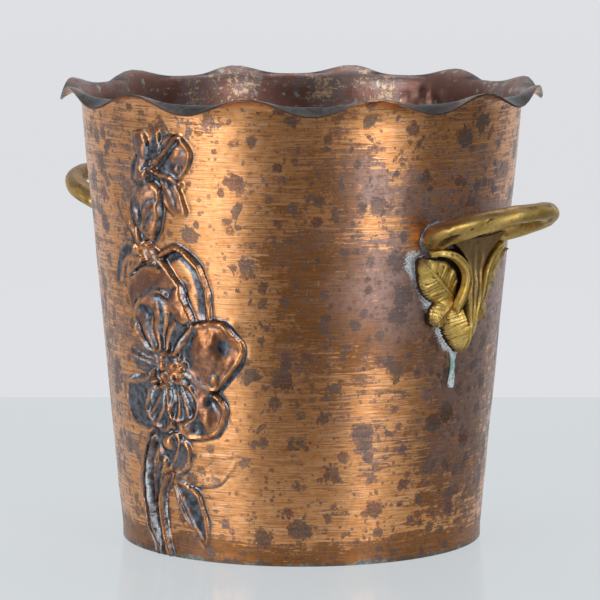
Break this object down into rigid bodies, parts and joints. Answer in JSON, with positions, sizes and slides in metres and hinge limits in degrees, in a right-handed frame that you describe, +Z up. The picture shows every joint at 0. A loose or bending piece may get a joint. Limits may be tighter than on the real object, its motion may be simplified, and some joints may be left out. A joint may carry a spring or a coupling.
{
  "type": "champagne cooler",
  "caption": "Tapered sheet-copper bucket with a scalloped flared rim, raised flower sprays and a cast brass ring handle on a leafy bracket at each side.",
  "frame": {"origin": "centre of the base, on the surface the cooler stands on", "axes": "+Z up along the bucket's axis; the two handles lie along +X and -X; the flower sprays face -Y and +Y"},
  "size_m": [0.2988, 0.2306, 0.22],
  "materials": {
    "copper": "hand-worked sheet copper, rubbed bright on the raised parts, with brown spotted patina",
    "cast_brass": "cast and chased yellow brass, worn brown on the upper faces",
    "soft_solder": "dull soft solder with a white and green crust"
  },
  "bodies": {
    "root": {"copper_wall": "copper", "bottom_plate": "copper", "bottom_solder": "soft_solder", "right_ring": "cast_brass", "right_bracket": "cast_brass", "right_bracket_solder": "soft_solder", "right_ring_solder_front": "soft_solder", "right_ring_solder_back": "soft_solder", "left_ring": "cast_brass", "left_bracket": "cast_brass", "left_bracket_solder": "soft_solder", "left_ring_solder_front": "soft_solder", "left_ring_solder_back": "soft_solder"}
  },
  "joints": []
}
